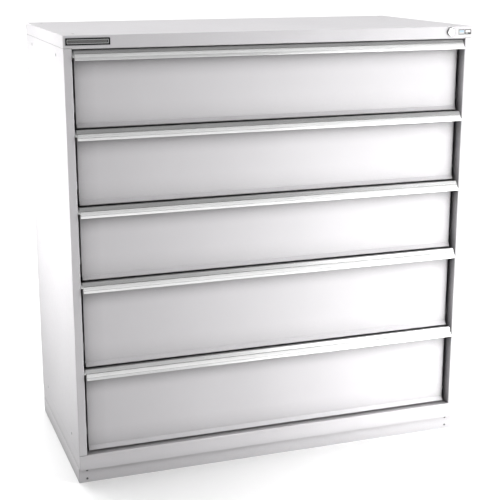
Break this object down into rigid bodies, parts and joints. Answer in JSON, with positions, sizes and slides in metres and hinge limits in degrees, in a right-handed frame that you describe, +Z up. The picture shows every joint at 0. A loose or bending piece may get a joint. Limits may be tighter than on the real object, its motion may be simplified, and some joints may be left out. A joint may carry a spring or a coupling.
{
  "type": "steel drawer cabinet",
  "caption": "Wide steel drawer cabinet on a recessed plinth, with full-width pull handles, telescopic roller slides and a key lock that bars the drawers.",
  "frame": {"origin": "centre of the bounding box on the floor, under the middle of the cabinet", "axes": "+X to the right seen from the front, +Y to the back, +Z up; the drawers open towards -Y"},
  "size_m": [1.435, 0.724, 1.511],
  "materials": {
    "powder_coat": "fine-textured light grey powder coat, satin",
    "anodised_aluminium": "extruded, satin anodised",
    "label_strip": "clear snap-in cover over a white card strip",
    "zinc_steel": "bright zinc-plated steel",
    "zinc_hardware": "zinc-plated button-head screws",
    "roller_plastic": "black nylon rollers",
    "guide_plastic": "natural nylon",
    "lock_chrome": "nickel-plated zinc casting",
    "nameplate": "dark blank plate with a bright rim",
    "label_film": "printed film with plain blocks, no lettering"
  },
  "bodies": {
    "housing": {"side_panel_left": "powder_coat", "side_panel_right": "powder_coat", "back_panel": "powder_coat", "top_panel": "powder_coat", "base_pan": "powder_coat", "plinth_side_left": "powder_coat", "plinth_side_right": "powder_coat", "plinth_front_cover": "powder_coat", "plinth_rear_cover": "powder_coat", "plinth_screws": "zinc_hardware", "slide_posts": "zinc_steel", "nameplate": "nameplate", "information_label": "label_film", "lock_housing": "lock_chrome", "lock_bar_guides": "guide_plastic", "drawer_1_cabinet_rails": "zinc_steel", "drawer_2_cabinet_rails": "zinc_steel", "drawer_3_cabinet_rails": "zinc_steel", "drawer_4_cabinet_rails": "zinc_steel", "drawer_5_cabinet_rails": "zinc_steel"},
    "drawer_1": {"drawer_1_front": "powder_coat", "drawer_1_tray": "powder_coat", "drawer_1_handle": "anodised_aluminium", "drawer_1_label_strip": "label_strip", "drawer_1_drawer_rails": "zinc_steel"},
    "drawer_1_carriage": {"drawer_1_carriages": "zinc_steel", "drawer_1_rollers": "roller_plastic"},
    "drawer_2": {"drawer_2_front": "powder_coat", "drawer_2_tray": "powder_coat", "drawer_2_handle": "anodised_aluminium", "drawer_2_label_strip": "label_strip", "drawer_2_drawer_rails": "zinc_steel"},
    "drawer_2_carriage": {"drawer_2_carriages": "zinc_steel", "drawer_2_rollers": "roller_plastic"},
    "drawer_3": {"drawer_3_front": "powder_coat", "drawer_3_tray": "powder_coat", "drawer_3_handle": "anodised_aluminium", "drawer_3_label_strip": "label_strip", "drawer_3_drawer_rails": "zinc_steel"},
    "drawer_3_carriage": {"drawer_3_carriages": "zinc_steel", "drawer_3_rollers": "roller_plastic"},
    "drawer_4": {"drawer_4_front": "powder_coat", "drawer_4_tray": "powder_coat", "drawer_4_handle": "anodised_aluminium", "drawer_4_label_strip": "label_strip", "drawer_4_drawer_rails": "zinc_steel"},
    "drawer_4_carriage": {"drawer_4_carriages": "zinc_steel", "drawer_4_rollers": "roller_plastic"},
    "drawer_5": {"drawer_5_front": "powder_coat", "drawer_5_tray": "powder_coat", "drawer_5_handle": "anodised_aluminium", "drawer_5_label_strip": "label_strip", "drawer_5_drawer_rails": "zinc_steel"},
    "drawer_5_carriage": {"drawer_5_carriages": "zinc_steel", "drawer_5_rollers": "roller_plastic"},
    "lock_plug": {"lock_plug": "lock_chrome", "lock_cam": "zinc_steel"},
    "lock_bar": {"lock_bar": "zinc_steel", "lock_link": "zinc_steel", "lock_bar_hooks": "zinc_steel"}
  },
  "joints": [
    {"name": "drawer_1_slide", "type": "slide", "parent": "housing", "child": "drawer_1", "axis": [0, -1, 0], "range_m": [0, 0.6]},
    {"name": "drawer_1_carriage_slide", "type": "slide", "parent": "housing", "child": "drawer_1_carriage", "axis": [0, -1, 0], "range_m": [0, 0.3]},
    {"name": "drawer_2_slide", "type": "slide", "parent": "housing", "child": "drawer_2", "axis": [0, -1, 0], "range_m": [0, 0.6]},
    {"name": "drawer_2_carriage_slide", "type": "slide", "parent": "housing", "child": "drawer_2_carriage", "axis": [0, -1, 0], "range_m": [0, 0.3]},
    {"name": "drawer_3_slide", "type": "slide", "parent": "housing", "child": "drawer_3", "axis": [0, -1, 0], "range_m": [0, 0.6]},
    {"name": "drawer_3_carriage_slide", "type": "slide", "parent": "housing", "child": "drawer_3_carriage", "axis": [0, -1, 0], "range_m": [0, 0.3]},
    {"name": "drawer_4_slide", "type": "slide", "parent": "housing", "child": "drawer_4", "axis": [0, -1, 0], "range_m": [0, 0.6]},
    {"name": "drawer_4_carriage_slide", "type": "slide", "parent": "housing", "child": "drawer_4_carriage", "axis": [0, -1, 0], "range_m": [0, 0.3]},
    {"name": "drawer_5_slide", "type": "slide", "parent": "housing", "child": "drawer_5", "axis": [0, -1, 0], "range_m": [0, 0.6]},
    {"name": "drawer_5_carriage_slide", "type": "slide", "parent": "housing", "child": "drawer_5_carriage", "axis": [0, -1, 0], "range_m": [0, 0.3]},
    {"name": "lock_bar_lift", "type": "slide", "parent": "housing", "child": "lock_bar", "axis": [0, 0, 1], "range_m": [0, 0.01414]},
    {"name": "lock_turn", "type": "hinge", "parent": "housing", "child": "lock_plug", "pos_m": [0.6318, -0.35, 1.4916], "axis": [0, -1, 0], "range_deg": [0, 90]}
  ],
  "couplings": [
    {"joint": "drawer_1_carriage_slide", "follows": "drawer_1_slide", "ratio": 0.5},
    {"joint": "drawer_2_carriage_slide", "follows": "drawer_2_slide", "ratio": 0.5},
    {"joint": "drawer_3_carriage_slide", "follows": "drawer_3_slide", "ratio": 0.5},
    {"joint": "drawer_4_carriage_slide", "follows": "drawer_4_slide", "ratio": 0.5},
    {"joint": "drawer_5_carriage_slide", "follows": "drawer_5_slide", "ratio": 0.5},
    {"joint": "lock_turn", "follows": "lock_bar_lift", "rad_per_m": 111.07}
  ]
}
